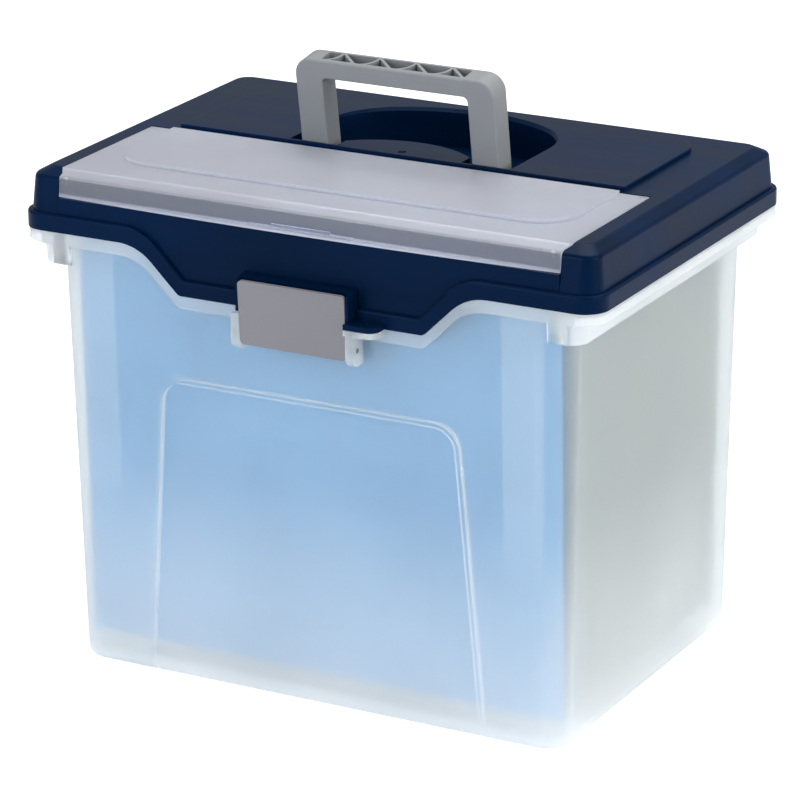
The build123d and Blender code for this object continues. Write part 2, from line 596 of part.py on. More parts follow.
def pad_block(inset, low_z, high_z):
    """Raised panel around the handle, its rear corners rounded."""
    half_x = PAD_HALF_X - inset
    outline = closed((-half_x, PAD_FRONT_Y + inset), (half_x, PAD_FRONT_Y + inset),
                     (half_x, PAD_REAR_Y - inset), (-half_x, PAD_REAR_Y - inset))
    outline = round_corners(outline, [(-half_x, PAD_REAR_Y - inset, PAD_CORNER - inset),
                                      (half_x, PAD_REAR_Y - inset, PAD_CORNER - inset)])
    return extrude(Pos(0, 0, low_z) * outline, high_z - low_z)


def lid_inside():
    """Hollow of the lid below its skin."""
    skirt = plan_block(FOOT_HALF_X, FOOT_HALF_Y, FOOT_CORNER, BAND_LOW, BAND_TOP - LID_SKIN)
    foot = lid_section(FOOT_HALF_X - LID_SKIN, FOOT_HALF_Y - LID_SKIN, FOOT_CORNER - LID_SKIN,
                       0, BAND_TOP - LID_SKIN)
    shoulder = lid_section(SHOULDER_HALF_X - LID_SKIN, SHOULDER_HALF_Y - LID_SKIN,
                           SHOULDER_CORNER - LID_SKIN, 0, SHOULDER_Z - LID_SKIN / 2)
    deck = lid_section(DECK_HALF_X, (DECK_REAR_Y - DECK_FRONT_Y) / 2, DECK_CORNER,
                       (DECK_REAR_Y + DECK_FRONT_Y) / 2, DECK_Z - LID_SKIN)
    walls = loft(Sketch() + [foot, shoulder], ruled=True)
    bevel = loft(Sketch() + [shoulder, deck], ruled=True)
    return skirt + walls + bevel + pad_block(LID_SKIN, DECK_Z - LID_SKIN, PAD_Z - LID_SKIN)


def front_apron():
    """Front skirt that follows the dip, its upper edge rounded, and the wall that rises behind it."""
    reach = BAND_HALF_X - BAND_CORNER
    span = box_between((-reach, -BAND_HALF_Y, DIP_SKIRT_LOW), (reach, 0, BAND_TOP))
    skirt = across_y(above_skirt_line(0, BAND_TOP) - above_ledge_line(0, PAD_Z), -BAND_HALF_Y,
                     -FOOT_HALF_Y) & span
    above = Pos(0, -BAND_HALF_Y, 0) * front_sketch(above_ledge_line(0, PAD_Z))
    top_edges = [edge for edge in skirt.edges()
                 if above.distance_to(edge.center()) < PIN_CLEARANCE]
    skirt = fillet(top_edges, BAND_EDGE_ROUND)
    mouth_half = COVER_FOOT_HALF_X + COVER_SIDE_GAP
    wall = across_y(above_ledge_line(LID_SKIN, TRAY_LIP_Z), -FOOT_HALF_Y, -FOOT_HALF_Y + LID_SKIN)
    wall &= box_between((-mouth_half, -BAND_HALF_Y, DIP_SKIRT_LOW), (mouth_half, 0, TRAY_LIP_Z))
    return skirt + wall


def above_front_ledge():
    """Air in front of the lid wall above the dipped ledge."""
    reach = BAND_HALF_X - BAND_CORNER
    air = across_y(above_ledge_line(0, PAD_Z), -BAND_HALF_Y - CUT_MARGIN, -FOOT_HALF_Y)
    span = box_between((-reach, -BAND_HALF_Y - CUT_MARGIN, DIP_LEDGE_LOW),
                       (reach, 0, BAND_TOP))
    return air & span


def cover_plan(gap, front_y, rear_y):
    """Plan of the cover, widened by gap, drawn in to a narrower front."""
    half_x = COVER_HALF_X + gap
    foot_half = COVER_FOOT_HALF_X + gap
    cut_y = COVER_BREAK_Y - COVER_FRONT_CUT_RUN
    return closed((-half_x, rear_y), (-half_x, COVER_BREAK_Y), (-foot_half, cut_y),
                  (-foot_half, front_y), (foot_half, front_y), (foot_half, cut_y),
                  (half_x, COVER_BREAK_Y), (half_x, rear_y))


def tray_hollow():
    """Inside of the organiser tray with its rounded floor edge, the bay of the cover and its mouth."""
    half_x = COVER_FOOT_HALF_X + COVER_SIDE_GAP
    hollow = box_between((-half_x, TRAY_FRONT_Y, TRAY_FLOOR_Z), (half_x, TRAY_REAR_Y, DECK_Z))
    hollow = fillet(hollow.faces().sort_by(Axis.Z)[0].edges(), TRAY_FLOOR_ROUND)
    bay_low = COVER_TOP_Z - COVER_SIDE_DROP - COVER_SIDE_GAP
    bay = extrude(Pos(0, 0, bay_low) * cover_plan(COVER_SIDE_GAP, TRAY_FRONT_Y, TRAY_REAR_Y),
                  PAD_Z - bay_low)
    mouth = box_between((-half_x, -BAND_HALF_Y - CUT_MARGIN, TRAY_LIP_Z),
                        (half_x, TRAY_FRONT_Y + TRAY_SKIN, PAD_Z))
    return hollow + bay + mouth


def tray_walls():
    """Stock of the tray's floor and walls."""
    return box_between((-TRAY_HALF_X - TRAY_SKIN, -FOOT_HALF_Y + LID_SKIN / 2,
                        TRAY_FLOOR_Z - TRAY_SKIN),
                       (TRAY_HALF_X + TRAY_SKIN, TRAY_REAR_Y + TRAY_SKIN, DECK_Z))


def well_outline(grow, rear_grow):
    """D-shaped plan of the handle well, widened by grow and its arch moved back by rear_grow."""
    arch_half = WELL_HALF_X + grow
    front_y = WELL_FRONT_Y - grow
    shoulder_y = WELL_SHOULDER_Y + grow + rear_grow
    front = Line((-arch_half, front_y), (arch_half, front_y))
    right = Line((arch_half, front_y), (arch_half, shoulder_y))
    arch = ThreePointArc((arch_half, shoulder_y), (0, WELL_REAR_Y + grow + rear_grow),
                         (-arch_half, shoulder_y))
    left = Line((-arch_half, shoulder_y), (-arch_half, front_y))
    outline = make_face(front + right + arch + left)
    return round_corners(outline, [(arch_half, shoulder_y, WELL_CORNER + grow),
                                   (-arch_half, shoulder_y, WELL_CORNER + grow)])


def platform_outline(inset):
    """Half-moon platform between the handle slots."""
    half_x = PLATFORM_HALF_X - inset
    front_y = WELL_FRONT_Y - WELL_SKIN
    side_y = PLATFORM_SIDE_Y - inset
    front = Line((-half_x, front_y), (half_x, front_y))
    right = Line((half_x, front_y), (half_x, side_y))
    arc = ThreePointArc((half_x, side_y), (0, PLATFORM_REAR_Y - inset), (-half_x, side_y))
    left = Line((-half_x, side_y), (-half_x, front_y))
    return make_face(front + right + arc + left)


def well_rim(drop, grow):
    """Sloped volume that eases the rear edge of the well, fading out along its sides."""
    low = Pos(0, 0, PAD_Z - WELL_RIM_DROP - drop) * well_outline(grow, 0)
    high = Pos(0, 0, PAD_Z - drop) * well_outline(grow, WELL_RIM_WIDTH)
    return loft(Sketch() + [low, high], ruled=True)


def well_hollow():
    """Air of the handle well above its floor, without the half-moon platform."""
    deep = extrude(Pos(0, 0, WELL_FLOOR_Z) * well_outline(0, 0), PAD_Z + CUT_MARGIN - WELL_FLOOR_Z)
    platform = extrude(Pos(0, 0, WELL_FLOOR_Z) * platform_outline(0), PAD_Z - WELL_FLOOR_Z)
    return deep + well_rim(0, 0) - platform


def well_shell():
    """Walls and floor of the handle well with the two pivot bosses."""
    floor_low = WELL_FLOOR_Z - WELL_SKIN
    shell = extrude(Pos(0, 0, floor_low) * well_outline(WELL_SKIN, 0), DECK_Z - floor_low)
    shell += well_rim(WELL_SKIN, WELL_SKIN)
    for side in (-1, 1):
        start = side * WELL_HALF_X
        end = side * (WELL_HALF_X + TRUNNION_BOSS_WIDTH)
        shell += rod_along_x(TRUNNION_BOSS_RADIUS, min(start, end), max(start, end),
                             HANDLE_PIVOT_Y, HANDLE_PIVOT_Z)
    return shell


def platform_core():
    """Hollow under the half-moon platform."""
    floor_low = WELL_FLOOR_Z - WELL_SKIN
    core = platform_outline(WELL_SKIN) - Pos(0, WELL_FRONT_Y - CUT_MARGIN / 2) * Rectangle(
        BAND_HALF_X, CUT_MARGIN)
    return extrude(Pos(0, 0, floor_low) * core, PAD_Z - LID_SKIN - floor_low)


def latch_point(forward, above):
    """A point of the latch, given from its pivot, leaned with the closed plate."""
    lean = math.radians(LATCH_LEAN_DEG)
    y = LATCH_PIVOT_Y - forward * math.cos(lean) - above * math.sin(lean)
    z = LATCH_PIVOT_Z - forward * math.sin(lean) + above * math.cos(lean)
    return (y, z)


def lid_lug():
    """Block on the lid's front that the latch closes over, with its catch bead."""
    root_y = -FOOT_HALF_Y
    outer_x = LATCH_HALF_X + SEAT_GAP + LUG_SIDE_SKIN
    outline = closed((root_y, DIP_SKIRT_LOW), (LUG_FRONT_Y, DIP_SKIRT_LOW),
                     (LUG_FRONT_Y, LUG_TOP_FRONT_Z), (root_y, LUG_TOP_REAR_Z))
    lug = across_x(outline, -outer_x, outer_x)
    face = LATCH_FACE - LATCH_SKIN - LUG_FACE_GAP
    pocket = closed(latch_point(face, 0), latch_point(face, LATCH_ABOVE + CUT_MARGIN),
                    (LUG_FRONT_Y - CUT_MARGIN, LUG_TOP_REAR_Z + CUT_MARGIN),
                    (LUG_FRONT_Y - CUT_MARGIN, LATCH_PIVOT_Z))
    pocket_half = LATCH_HALF_X + SEAT_GAP
    lug -= across_x(pocket, -pocket_half, pocket_half)
    bead_high = LATCH_LIP_ABOVE - LUG_BEAD_BELOW + LUG_BEAD_HEIGHT
    bead_low = bead_high - LUG_BEAD_HEIGHT
    bead = closed(latch_point(face - LUG_BEAD_DEPTH, bead_low),
                  latch_point(face + LUG_BEAD_DEPTH, bead_low + LUG_BEAD_HEIGHT / 4),
                  latch_point(face + LUG_BEAD_DEPTH, bead_high - LUG_BEAD_HEIGHT / 4),
                  latch_point(face - LUG_BEAD_DEPTH, bead_high))
    bead_half = LATCH_HALF_X - LATCH_SIDE_SKIN - LOOSE_GAP
    lug += across_x(bead, -bead_half, bead_half)
    core = box_between(
        (-bead_half, latch_point(face, 0)[0] + LUG_CORE_SKIN, DIP_SKIRT_LOW),
        (bead_half, root_y - SEAT_GAP, LUG_TOP_FRONT_Z - LUG_CORE_SKIN))
    return lug - core


def hinge_knuckles():
    """Lid knuckles that turn on the hinge pins."""
    outline = closed((HINGE_WEB_ROOT_Y, HINGE_Z - SEAT_GAP), (HINGE_Y, HINGE_Z - SEAT_GAP),
                     (HINGE_Y, HINGE_Z + HINGE_RADIUS), (HINGE_WEB_ROOT_Y, HINGE_Z + HINGE_RADIUS))
    outline += Pos(HINGE_Y, HINGE_Z) * Circle(HINGE_RADIUS)
    return [across_x(outline, *span) for span in hinge_ends(2 * HINGE_KNUCKLE_HALF, 0)]


def cover_sockets():
    """Bosses outside the tray's side walls for the cover's stub pins."""
    bosses = []
    for side in (-1, 1):
        start = side * TRAY_HALF_X
        end = side * (TRAY_HALF_X + TRAY_SKIN + COVER_BOSS_WIDTH)
        bosses.append(rod_along_x(COVER_BOSS_RADIUS, min(start, end), max(start, end),
                                  COVER_AXIS_Y, COVER_AXIS_Z))
    return bosses


def make_lid():
    outer = lid_outer()
    lid = outer - lid_inside()
    lid += front_apron()
    lid -= above_front_ledge()
    lid += tray_walls() & outer
    lid += (Part() + cover_sockets()) & outer
    lid += well_shell() & outer
    lid -= [tray_hollow(), well_hollow(), platform_core()]
    lid += hinge_knuckles()
    lid += eyelet_tab(DIP_SKIRT_LOW, EYELET_THICKNESS)
    lid -= rod_along_x(HINGE_PIN_RADIUS + PIN_CLEARANCE, -BAND_HALF_X, BAND_HALF_X,
                       HINGE_Y, HINGE_Z)
    trunnion_end = HANDLE_HALF_X + TRUNNION_REACH + SEAT_GAP
    lid -= rod_along_x(TRUNNION_RADIUS + PIN_CLEARANCE, -trunnion_end, trunnion_end,
                       HANDLE_PIVOT_Y, HANDLE_PIVOT_Z) - box_between(
        (-WELL_HALF_X, WELL_FRONT_Y, WELL_FLOOR_Z), (WELL_HALF_X, WELL_REAR_Y, PAD_Z))
    pin_end = COVER_HALF_X + COVER_PIN_REACH + SEAT_GAP
    lid -= rod_along_x(COVER_PIN_RADIUS + PIN_CLEARANCE, -pin_end, pin_end,
                       COVER_AXIS_Y, COVER_AXIS_Z)
    gate_mark = Cylinder(GATE_MARK_RADIUS, 2 * GATE_MARK_DEPTH)
    gate_mark -= Cylinder(GATE_NUB_RADIUS, 2 * GATE_MARK_DEPTH)
    lid -= Pos(0, PAD_FRONT_Y + GATE_MARK_FROM_FRONT, PAD_Z) * gate_mark
    return lid


def make_catch_block(lid):
    """The block that the latch closes over, its root fitted to the front of the lid."""
    return lid_lug() - lid


# ---------------------------------------------------------------- organiser cover
def cover_pad(inset, low_z, high_z):
    """Raised panel of the cover."""
    depth = COVER_PAD_REAR_Y - COVER_PAD_FRONT_Y
    half_x = COVER_PAD_HALF_X - inset
    outline = closed((-half_x, depth - inset), (-half_x, inset), (half_x, inset),
                     (half_x, depth - inset))
    outline = round_corners(outline, [(-half_x, inset, COVER_PAD_CORNER - inset),
                                      (half_x, inset, COVER_PAD_CORNER - inset)])
    return extrude(Pos(0, COVER_PAD_FRONT_Y, low_z) * outline, high_z - low_z)


def cover_front(inset):
    """Side outline of the bevel and upright band, thinned by inset, the edges between them rounded."""
    bevel = (COVER_BEVEL_Y + inset, COVER_BEVEL_Z - inset / 2)
    crease = (COVER_BREAK_Y, COVER_TOP_Z - inset)
    inner_y = COVER_BREAK_Y + CUT_MARGIN
    outline = closed((inner_y, COVER_TOP_Z - inset), crease, bevel,
                     (COVER_FOOT_Y + inset, COVER_FOOT_Z), (inner_y, COVER_FOOT_Z))
    return round_corners(outline, [(*crease, COVER_EDGE_ROUND), (*bevel, COVER_EDGE_ROUND)])


def cover_pegs():
    """Small upright pegs near both ends of the front band."""
    pegs = []
    for side in (-1, 1):
        x = side * (COVER_FOOT_HALF_X - COVER_PEG_FROM_SIDE)
        pegs.append(Pos(x, COVER_BEVEL_Y, COVER_TOP_Z - (COVER_PEG_LOW + COVER_PEG_HIGH) / 2)
                    * Cylinder(COVER_PEG_RADIUS, COVER_PEG_LOW - COVER_PEG_HIGH))
    return pegs


def cover_lip():
    """Bowed lifting lip along the lower edge, with the thumb tab in the middle."""
    half_x = COVER_FOOT_HALF_X
    root_y = COVER_FOOT_Y + COVER_SKIN
    back = Line((-half_x, root_y), (half_x, root_y))
    right = Line((half_x, root_y), (half_x, COVER_FOOT_Y))
    bow = ThreePointArc((half_x, COVER_FOOT_Y), (0, COVER_FOOT_Y - COVER_LIP_BOW),
                        (-half_x, COVER_FOOT_Y))
    left = Line((-half_x, COVER_FOOT_Y), (-half_x, root_y))
    plan = make_face(back + right + bow + left)
    lip = extrude(Pos(0, 0, COVER_FOOT_Z) * plan, COVER_LIP_HEIGHT)
    tab_span = box_between((-COVER_TAB_HALF_X, -BAND_HALF_Y, COVER_FOOT_Z),
                           (COVER_TAB_HALF_X, root_y, PAD_Z))
    tab = extrude(Pos(0, 0, COVER_FOOT_Z) * plan, COVER_TAB_HEIGHT) & tab_span
    bar_front = COVER_FOOT_Y - COVER_LIP_BOW / 2
    bar = box_between((-COVER_TAB_BAR_HALF_X, bar_front, COVER_FOOT_Z),
                      (COVER_TAB_BAR_HALF_X, bar_front + COVER_TAB_BAR_DEPTH,
                       COVER_FOOT_Z + COVER_TAB_BAR_HEIGHT))
    return lip + tab + bar


def make_cover():
    top = COVER_TOP_Z
    plan = cover_plan(0, COVER_FOOT_Y, COVER_REAR_Y)
    flange = extrude(Pos(0, 0, top - COVER_SKIN) * plan, COVER_SKIN)
    flange &= box_between((-COVER_HALF_X, COVER_BREAK_Y + COVER_SKIN, top - COVER_SKIN),
                          (COVER_HALF_X, COVER_REAR_Y, top))
    front = across_x(cover_front(0), -COVER_HALF_X, COVER_HALF_X)
    front -= across_x(cover_front(COVER_SKIN), -COVER_HALF_X, COVER_HALF_X)
    front &= extrude(Pos(0, 0, COVER_FOOT_Z) * plan, top - COVER_FOOT_Z)
    cover = flange + front
    cover += cover_pad(0, top - COVER_SKIN, COVER_PAD_TOP)
    cover -= cover_pad(COVER_SKIN, top - CUT_MARGIN, COVER_PAD_TOP - COVER_SKIN)
    for side in (-1, 1):
        outer = side * COVER_HALF_X
        inner = side * (COVER_HALF_X - COVER_SKIN)
        cover += box_between((min(outer, inner), COVER_BREAK_Y, top - COVER_SIDE_DROP),
                             (max(outer, inner), COVER_REAR_Y - COVER_SIDE_REAR_GAP,
                              top - COVER_SKIN))
        ear = side * (COVER_HALF_X - COVER_EAR_WIDTH)
        pin = side * (COVER_HALF_X + COVER_PIN_REACH)
        cover += rod_along_x(COVER_EAR_RADIUS, min(outer, ear), max(outer, ear),
                             COVER_AXIS_Y, COVER_AXIS_Z)
        cover += rod_along_x(COVER_PIN_RADIUS, min(ear, pin), max(ear, pin),
                             COVER_AXIS_Y, COVER_AXIS_Z)
    cover += cover_pegs()
    return cover + cover_lip()


# ---------------------------------------------------------------- handle
def handle_loop():
    """U-shaped handle, upright about its pivot line."""
    inner_x = HANDLE_HALF_X - HANDLE_LEG_WIDTH
    grip_low = HANDLE_HEIGHT - GRIP_HEIGHT
    foot = -HANDLE_FOOT_RADIUS
    outline = closed((-HANDLE_HALF_X, foot), (-HANDLE_HALF_X, HANDLE_HEIGHT),
                     (HANDLE_HALF_X, HANDLE_HEIGHT), (HANDLE_HALF_X, foot),
                     (inner_x, foot), (inner_x, grip_low), (-inner_x, grip_low), (-inner_x, foot))
    outline = round_corners(outline, [
        (-HANDLE_HALF_X, HANDLE_HEIGHT, HANDLE_OUTER_ROUND),
        (HANDLE_HALF_X, HANDLE_HEIGHT, HANDLE_OUTER_ROUND),
        (-inner_x, grip_low, HANDLE_INNER_ROUND), (inner_x, grip_low, HANDLE_INNER_ROUND)])
    loop = across_y(outline, -HANDLE_FRONT, HANDLE_REAR)
    side = closed((-HANDLE_FRONT, 0), (HANDLE_REAR, 0), (HANDLE_REAR, HANDLE_HEIGHT),
                  (-HANDLE_FRONT, HANDLE_HEIGHT)) + Circle(HANDLE_FOOT_RADIUS)
    loop &= across_x(side, -HANDLE_HALF_X, HANDLE_HALF_X)
    front_face = loop.faces().filter_by(Axis.Y).sort_by(Axis.Y)[0]
    rear_face = loop.faces().filter_by(Axis.Y).sort_by(Axis.Y)[-1]
    edges = [edge for face in (front_face, rear_face) for edge in face.edges()
             if edge.center().Z > 1]
    return fillet(edges, HANDLE_EDGE_ROUND)


def grip_ribs():
    """Curved ribs of the grip's open top, each leading into a straight diagonal."""
    front_y = -HANDLE_FRONT + TRUSS_BAND / 2
    rear_y = HANDLE_REAR - TRUSS_BAND / 2
    ribs = Sketch()
    for index in range(TRUSS_COUNT):
        rear_x = TRUSS_FIRST_REAR_X + index * TRUSS_PITCH
        curve_x = rear_x + TRUSS_RIB_RUN - TRUSS_PITCH
        curve = TangentArc((curve_x, front_y), (rear_x, rear_y), tangent=(1, 0))
        ribs += trace(curve, TRUSS_RIB)
        ribs += trace(Line((rear_x, rear_y), (rear_x + TRUSS_RIB_RUN, front_y)), TRUSS_RIB)
    return ribs


def make_handle():
    handle = handle_loop()
    pocket_front = -HANDLE_FRONT + TRUSS_BAND
    pocket_rear = HANDLE_REAR - TRUSS_BAND
    middle = ((TRUSS_LEFT_X + TRUSS_RIGHT_X) / 2, (pocket_front + pocket_rear) / 2)
    pocket = Pos(*middle) * RectangleRounded(TRUSS_RIGHT_X - TRUSS_LEFT_X,
                                             pocket_rear - pocket_front, TRUSS_RIB)
    hollow = pocket - grip_ribs()
    handle -= extrude(Pos(0, 0, HANDLE_HEIGHT - TRUSS_DEPTH) * hollow, CUT_MARGIN)
    for side in (-1, 1):
        start = side * (HANDLE_HALF_X - TRUNNION_REACH)
        end = side * (HANDLE_HALF_X + TRUNNION_REACH)
        handle += rod_along_x(TRUNNION_RADIUS, min(start, end), max(start, end), 0, 0)
    return Pos(0, HANDLE_PIVOT_Y, HANDLE_PIVOT_Z) * Rot(HANDLE_LEAN_DEG, 0, 0) * handle


# ---------------------------------------------------------------- latch and pins
def make_latch():
    """Latch plate, upright about its pivot line, then leaned outward at the top."""
    plate_outline = closed((-LATCH_HALF_X, -LATCH_BELOW), (LATCH_HALF_X, -LATCH_BELOW),
                           (LATCH_HALF_X, LATCH_ABOVE), (-LATCH_HALF_X, LATCH_ABOVE))
    plate_outline = fillet(plate_outline.vertices(), LATCH_CORNER)
    latch = across_y(plate_outline, -LATCH_FACE, -LATCH_FACE + LATCH_SKIN)
    flange_end = -LATCH_FACE + LATCH_SKIN + LATCH_SIDE_DEPTH
    for side in (-1, 1):
        outer = side * LATCH_HALF_X
        inner = side * (LATCH_HALF_X - LATCH_SIDE_SKIN)
        latch += box_between((min(outer, inner), -LATCH_FACE + LATCH_SKIN / 2, 0),
                             (max(outer, inner), flange_end, LATCH_ABOVE - LATCH_CORNER))
    knuckle_length = (2 * LATCH_HALF_X - (LATCH_KNUCKLE_COUNT - 1) * LATCH_KNUCKLE_GAP)
    knuckle_length /= LATCH_KNUCKLE_COUNT
    for index in range(LATCH_KNUCKLE_COUNT):
        start = -LATCH_HALF_X + index * (knuckle_length + LATCH_KNUCKLE_GAP)
        latch += rod_along_x(LATCH_KNUCKLE_RADIUS, start, start + knuckle_length, 0, 0)
        latch += box_between((start, -LATCH_FACE + LATCH_SKIN / 2, -LATCH_KNUCKLE_RADIUS),
                             (start + knuckle_length, 0, LATCH_KNUCKLE_RADIUS))
    lip_half = LATCH_HALF_X - LATCH_SIDE_SKIN / 2
    latch += box_between((-lip_half, -LATCH_FACE + LATCH_SKIN / 2, LATCH_LIP_ABOVE),
                         (lip_half, -LATCH_FACE + LATCH_SKIN + LATCH_LIP_DEPTH,
                          LATCH_LIP_ABOVE + LATCH_LIP_HEIGHT))
    latch -= rod_along_x(LATCH_PIN_RADIUS + PIN_CLEARANCE, -LATCH_HALF_X, LATCH_HALF_X, 0, 0)
    return Pos(0, LATCH_PIVOT_Y, LATCH_PIVOT_Z) * Rot(LATCH_LEAN_DEG, 0, 0) * latch


def make_latch_pin():
    end = LATCH_HALF_X + SEAT_GAP + CHEEK_WIDTH
    return rod_along_x(LATCH_PIN_RADIUS, -end, end, LATCH_PIVOT_Y, LATCH_PIVOT_Z)


def make_hinge_pins():
    half = HINGE_KNUCKLE_HALF + SEAT_GAP + HINGE_EAR_WIDTH
    return [rod_along_x(HINGE_PIN_RADIUS, station - half, station + half, HINGE_Y, HINGE_Z)
            for station in (-HINGE_SPREAD_X, HINGE_SPREAD_X)]


# ---------------------------------------------------------------- hanging folders
def rod_slot_half():
    """Half depth of the hem's slot around a rod."""
    return ROD_THICKNESS / 2 + ROD_PLAY


def hem_offset():
    """Folder middle to the middle of a hem."""
    return FOLDER_DEPTH / 2 - PAPER - rod_slot_half()


def make_folder_paper():
    """Folded paper: two panels, a rounded base fold and a hem round each rod."""
    hem_low = FOLDER_TOP_Z - HEM_HEIGHT
    panel_top_y = FOLDER_DEPTH / 2 - PAPER / 2
    base_z = FOLDER_BASE_Z + PAPER / 2 + FOLDER_BASE_RADIUS
    right = Line((panel_top_y, hem_low), (FOLDER_BASE_RADIUS, base_z))
    fold = ThreePointArc((FOLDER_BASE_RADIUS, base_z), (0, base_z - FOLDER_BASE_RADIUS),
                         (-FOLDER_BASE_RADIUS, base_z))
    left = Line((-FOLDER_BASE_RADIUS, base_z), (-panel_top_y, hem_low))
    section = trace(right, PAPER) + trace(fold, PAPER) + trace(left, PAPER)
    slot_half = rod_slot_half()
    for side in (-1, 1):
        hem = Rectangle(2 * (slot_half + PAPER), HEM_HEIGHT)
        hem -= Rectangle(2 * slot_half, HEM_HEIGHT - 2 * PAPER)
        section += Pos(side * hem_offset(), hem_low + HEM_HEIGHT / 2) * hem
    return across_x(section, -FOLDER_HALF_X, FOLDER_HALF_X)


def make_folder_rod(side):
    """Steel strip in a hem, with an arm and hook over each rail."""
    arm_low = RAIL_TOP + ROD_SEAT
    arm_top = arm_low + ROD_ARM_HEIGHT
    top = FOLDER_TOP_Z - PAPER - ROD_PLAY
    neck_x = FOLDER_HALF_X + LOOSE_GAP
    tip_x = ROD_HALF_LENGTH
    hook_x = tip_x - ROD_HOOK_WIDTH
    low = top - ROD_HEIGHT
    shoulder_x = neck_x + ROD_ARM_HEIGHT
    half = [(neck_x, top), (neck_x, arm_top), (tip_x, arm_top), (tip_x, arm_low - ROD_HOOK_DROP),
            (hook_x, arm_low - ROD_HOOK_DROP), (hook_x, arm_low), (shoulder_x, arm_low),
            (shoulder_x, low)]
    mirrored = [(-x, z) for x, z in reversed(half)]
    outline = closed(*half, *mirrored)
    middle = side * hem_offset()
    return across_y(outline, middle - ROD_THICKNESS / 2, middle + ROD_THICKNESS / 2)


def main():
    os.makedirs("parts", exist_ok=True)
    export_step(make_tub(), "parts/file_tub.step")
    lid = make_lid()
    export_step(lid, "parts/lid.step")
    export_step(make_catch_block(lid), "parts/lid_catch_block.step")
    export_step(make_cover(), "parts/organizer_cover.step")
    export_step(make_handle(), "parts/handle.step")
    export_step(make_latch(), "parts/latch.step")
    export_step(make_latch_pin(), "parts/latch_pin.step")
    export_step(Compound(children=make_hinge_pins()), "parts/lid_hinge_pins.step")
    paper = make_folder_paper()
    rods = {"front": make_folder_rod(-1), "rear": make_folder_rod(1)}
    for index in range(FOLDER_COUNT):
        place = Pos(0, FOLDER_FIRST_Y + index * FOLDER_PITCH, 0)
        name = f"folder_{index + 1:02d}"
        export_step(place * paper, f"parts/{name}.step")
        for end, rod in rods.items():
            export_step(place * rod, f"parts/{name}_{end}_rod.step")


main()
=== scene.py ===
import math
import bpy
import numpy as np
from mathutils import Matrix

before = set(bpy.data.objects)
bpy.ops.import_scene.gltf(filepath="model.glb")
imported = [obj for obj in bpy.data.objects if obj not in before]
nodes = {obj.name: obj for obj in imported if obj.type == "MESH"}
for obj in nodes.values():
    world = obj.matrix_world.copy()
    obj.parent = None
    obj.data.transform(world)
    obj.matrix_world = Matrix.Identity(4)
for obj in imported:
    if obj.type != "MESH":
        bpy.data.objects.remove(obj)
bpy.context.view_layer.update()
scene = bpy.context.scene

# ------------------------------------------------------------ camera, as solved from the photograph
CAMERA_PLACE = (1.09588, -2.01565, 0.94791)
CAMERA_AZIMUTH = math.radians(28.62)
CAMERA_ELEVATION = math.radians(19.29)
CAMERA_ROLL = math.radians(-0.50)
FOCAL_PIXELS = 4291.46
FRAME_PIXELS = 800
SENSOR_MM = 36.0

# ------------------------------------------------------------ where the finishes change, in metres
BASE_GLOW_AND_HAZE_TOP = 0.015      # painted glow: the floor of the tub and the round above it are made milkier, which whitens them as light glowing through the base would
PAINTED_GLOW_TOP = 0.150           # painted glow: the whitening that stands in for light thrown up by the floor fades out at this height
RIM_LOW = 0.2482           # the rolled rim
FLANGE_LOW = 0.2356        # the box flange under the rim
SIDE_WALL_TOP = 0.1600     # outside of the side walls just under the rim
FRONT_WALL_TOP = 0.1168    # outside of the front and rear walls under the dipping rim
PANEL_SIDE = 0.1100        # the sunk panel's edge, where a highlight is painted, lies within this distance of the middle
PANEL_TOP = 0.1800
STRIP_SIDE = 0.1190        # beyond this the front and rear walls are a little milkier, down to the base
COVER_FRONT_TOP = 0.2846   # clear front band of the organizer cover ends here
COVER_LIP_TOP = 0.2764     # lifting lip along the band's lower edge


def linear(code):
    """sRGB hex colour as linear red, green, blue and alpha 1."""
    channels = [int(code[i:i + 2], 16) / 255 for i in (1, 3, 5)]
    bent = [c / 12.92 if c <= 0.04045 else ((c + 0.055) / 1.055) ** 2.4 for c in channels]
    return (*bent, 1.0)


def add(tree, kind, props=None, values=None, links=None):
    """Adds one shader node, sets its properties and socket values, and links its inputs."""
    node = tree.nodes.new("ShaderNode" + kind)
    for name, value in (props or {}).items():
        setattr(node, name, value)
    for name, value in (values or {}).items():
        node.inputs[name].default_value = value
    for name, (source, output) in (links or {}).items():
        tree.links.new(source.outputs[output], node.inputs[name])
    return node


def place_camera():
    sin_a, cos_a = math.sin(CAMERA_AZIMUTH), math.cos(CAMERA_AZIMUTH)
    sin_e, cos_e = math.sin(CAMERA_ELEVATION), math.cos(CAMERA_ELEVATION)
    back = np.array([sin_a * cos_e, -cos_a * cos_e, sin_e])
    level = np.array([cos_a, sin_a, 0.0])
    up = np.cross(back, level)
    cos_r, sin_r = math.cos(CAMERA_ROLL), math.sin(CAMERA_ROLL)
    right = cos_r * level + sin_r * up
    top = -sin_r * level + cos_r * up
    data = bpy.data.cameras.new("camera")
    data.sensor_width = SENSOR_MM
    data.lens = FOCAL_PIXELS / FRAME_PIXELS * SENSOR_MM
    data.clip_end = 50.0
    camera = bpy.data.objects.new("camera", data)
    scene.collection.objects.link(camera)
    rows = [[right[i], top[i], back[i], CAMERA_PLACE[i]] for i in range(3)]
    camera.matrix_world = Matrix(rows + [[0, 0, 0, 1]])
    scene.camera = camera


def area_light(name, place, target, width, height, watts, colour):
    data = bpy.data.lights.new(name, "AREA")
    data.shape = "RECTANGLE"
    data.size = width
    data.size_y = height
    data.energy = watts
    data.color = linear(colour)[:3]
    light = bpy.data.objects.new(name, data)
    scene.collection.objects.link(light)
    back = np.array(place) - np.array(target)
    back = back / np.linalg.norm(back)
    side = np.cross([0, 0, 1], back)
    side = side / np.linalg.norm(side)
    top = np.cross(back, side)
    rows = [[side[i], top[i], back[i], place[i]] for i in range(3)]
    light.matrix_world = Matrix(rows + [[0, 0, 0, 1]])
    return light


